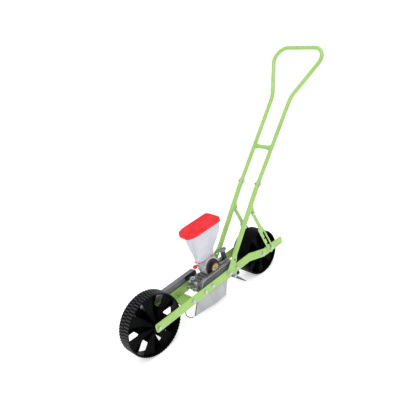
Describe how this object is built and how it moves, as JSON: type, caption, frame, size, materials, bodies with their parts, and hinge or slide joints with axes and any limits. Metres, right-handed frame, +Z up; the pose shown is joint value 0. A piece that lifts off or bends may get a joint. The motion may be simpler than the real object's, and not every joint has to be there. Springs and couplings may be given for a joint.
{
  "type": "push row seeder",
  "caption": "Hand-pushed row seeder: twin flat rails, cleated drive wheel, smooth press wheel, clear hopper over a chain-driven seed roller, V-shaped furrow opener and long tube handle.",
  "frame": {"origin": "centre of the bounding box's bottom face, on the ground", "axes": "+X machine's left (lateral), +Y towards the push handle, +Z up"},
  "size_m": [0.2892, 1.3734, 0.9393],
  "materials": {
    "green_paint": "gloss yellow-green powder coat",
    "wheel_plastic": "moulded black, slightly dusty",
    "guard_plastic": "moulded grey",
    "casting": "as-cast grey",
    "clear_plastic": "clear moulded plastic",
    "red_plastic": "moulded red",
    "black_plastic": "moulded black",
    "white_plastic": "moulded white",
    "chain_steel": "oiled dark steel",
    "sheet_steel": "bare sheet steel",
    "yellow_zinc": "yellow zinc plate",
    "zinc_steel": "bright zinc plate"
  },
  "bodies": {
    "frame": {"rail_left": "green_paint", "rail_right": "green_paint", "cross_plate": "green_paint", "cross_plate_bolt_left": "zinc_steel", "cross_plate_bolt_right": "zinc_steel", "handle_pivot_rod": "zinc_steel", "rear_tie_rod": "zinc_steel", "rear_axle": "zinc_steel", "front_axle_bush_left": "white_plastic", "front_axle_bush_right": "white_plastic", "layshaft_bush": "white_plastic", "front_chain": "chain_steel", "meter_chain": "chain_steel", "chain_guard": "guard_plastic", "meter_base": "casting", "body_bolt_left_1": "zinc_steel", "body_bolt_right_1": "zinc_steel", "body_bolt_left_2": "zinc_steel", "body_bolt_right_2": "zinc_steel", "roller_housing": "clear_plastic", "roller_end_cap": "black_plastic", "seed_brush": "black_plastic", "seed_chute": "white_plastic", "hopper": "clear_plastic", "hopper_gasket": "red_plastic", "chain_case": "black_plastic", "lever_pin": "zinc_steel", "depth_bolt": "zinc_steel", "wire_guard": "sheet_steel", "cover_bracket_left": "sheet_steel", "cover_bracket_right": "sheet_steel", "brace_pin_left": "zinc_steel", "brace_pin_right": "zinc_steel"},
    "front_wheel": {"front_wheel": "wheel_plastic", "front_axle": "zinc_steel"},
    "layshaft": {"layshaft": "zinc_steel"},
    "idler": {"idler_sprocket": "zinc_steel"},
    "seed_roller": {"seed_roller": "white_plastic", "roller_shaft": "zinc_steel", "roller_sprocket": "yellow_zinc"},
    "rear_wheel": {"rear_wheel": "wheel_plastic"},
    "handle": {"handle_leg_left": "green_paint", "handle_leg_right": "green_paint", "handle_tube": "green_paint", "handle_crossbar": "green_paint", "sleeve_bolt_left": "zinc_steel", "sleeve_bolt_right": "zinc_steel", "brace_bolt_left": "zinc_steel", "brace_bolt_right": "zinc_steel"},
    "brace_left": {"brace_left": "green_paint"},
    "brace_right": {"brace_right": "green_paint"},
    "lid": {"hopper_lid": "red_plastic"},
    "opener": {"furrow_opener": "sheet_steel"},
    "cover": {"cover_bar": "zinc_steel", "cover_tine_left": "sheet_steel", "cover_tine_right": "sheet_steel", "tine_knob_left": "black_plastic", "tine_knob_right": "black_plastic"},
    "lever": {"lever": "black_plastic"},
    "latch": {"hopper_latch": "red_plastic"}
  },
  "joints": [
    {"name": "front_wheel_spin", "type": "hinge", "parent": "frame", "child": "front_wheel", "pos_m": [0, -0.54673, 0.14], "axis": [1, 0, 0], "continuous": true},
    {"name": "layshaft_spin", "type": "hinge", "parent": "frame", "child": "layshaft", "pos_m": [0, -0.24523, 0.152], "axis": [1, 0, 0], "continuous": true},
    {"name": "idler_spin", "type": "hinge", "parent": "frame", "child": "idler", "pos_m": [0.04, -0.10873, 0.16852], "axis": [1, 0, 0], "continuous": true},
    {"name": "seed_roller_spin", "type": "hinge", "parent": "frame", "child": "seed_roller", "pos_m": [0, -0.17773, 0.20385], "axis": [1, 0, 0], "continuous": true},
    {"name": "rear_wheel_spin", "type": "hinge", "parent": "frame", "child": "rear_wheel", "pos_m": [0, 0.11527, 0.1088], "axis": [1, 0, 0], "continuous": true},
    {"name": "handle_tilt", "type": "hinge", "parent": "frame", "child": "handle", "pos_m": [0, -0.11673, 0.141], "axis": [1, 0, 0], "range_deg": [-15, 0]},
    {"name": "brace_left_swing", "type": "hinge", "parent": "handle", "child": "brace_left", "pos_m": [0.0567, 0.09927, 0.337], "axis": [1, 0, 0], "range_deg": [0, 8]},
    {"name": "brace_right_swing", "type": "hinge", "parent": "handle", "child": "brace_right", "pos_m": [-0.0567, 0.09927, 0.337], "axis": [1, 0, 0], "range_deg": [0, 8]},
    {"name": "lid_lift", "type": "slide", "parent": "frame", "child": "lid", "axis": [0, 0, 1], "range_m": [0, 0.05]},
    {"name": "opener_depth", "type": "slide", "parent": "frame", "child": "opener", "axis": [0, 0, 1], "range_m": [-0.04, 0]},
    {"name": "cover_swing", "type": "hinge", "parent": "frame", "child": "cover", "pos_m": [0, -0.08573, 0.103], "axis": [1, 0, 0], "range_deg": [-15, 10]},
    {"name": "lever_swing", "type": "hinge", "parent": "frame", "child": "lever", "pos_m": [0.004, -0.08573, 0.17], "axis": [1, 0, 0], "range_deg": [-35, 0]},
    {"name": "latch_pull", "type": "slide", "parent": "frame", "child": "latch", "axis": [0, -1, 0], "range_m": [0, 0.008]}
  ],
  "couplings": [
    {"joint": "layshaft_spin", "follows": "front_wheel_spin", "ratio": 1},
    {"joint": "idler_spin", "follows": "front_wheel_spin", "ratio": 2.2222},
    {"joint": "seed_roller_spin", "follows": "front_wheel_spin", "ratio": -1.4286},
    {"joint": "brace_left_swing", "follows": "handle_tilt", "ratio": -0.5003},
    {"joint": "brace_right_swing", "follows": "handle_tilt", "ratio": -0.5003}
  ]
}
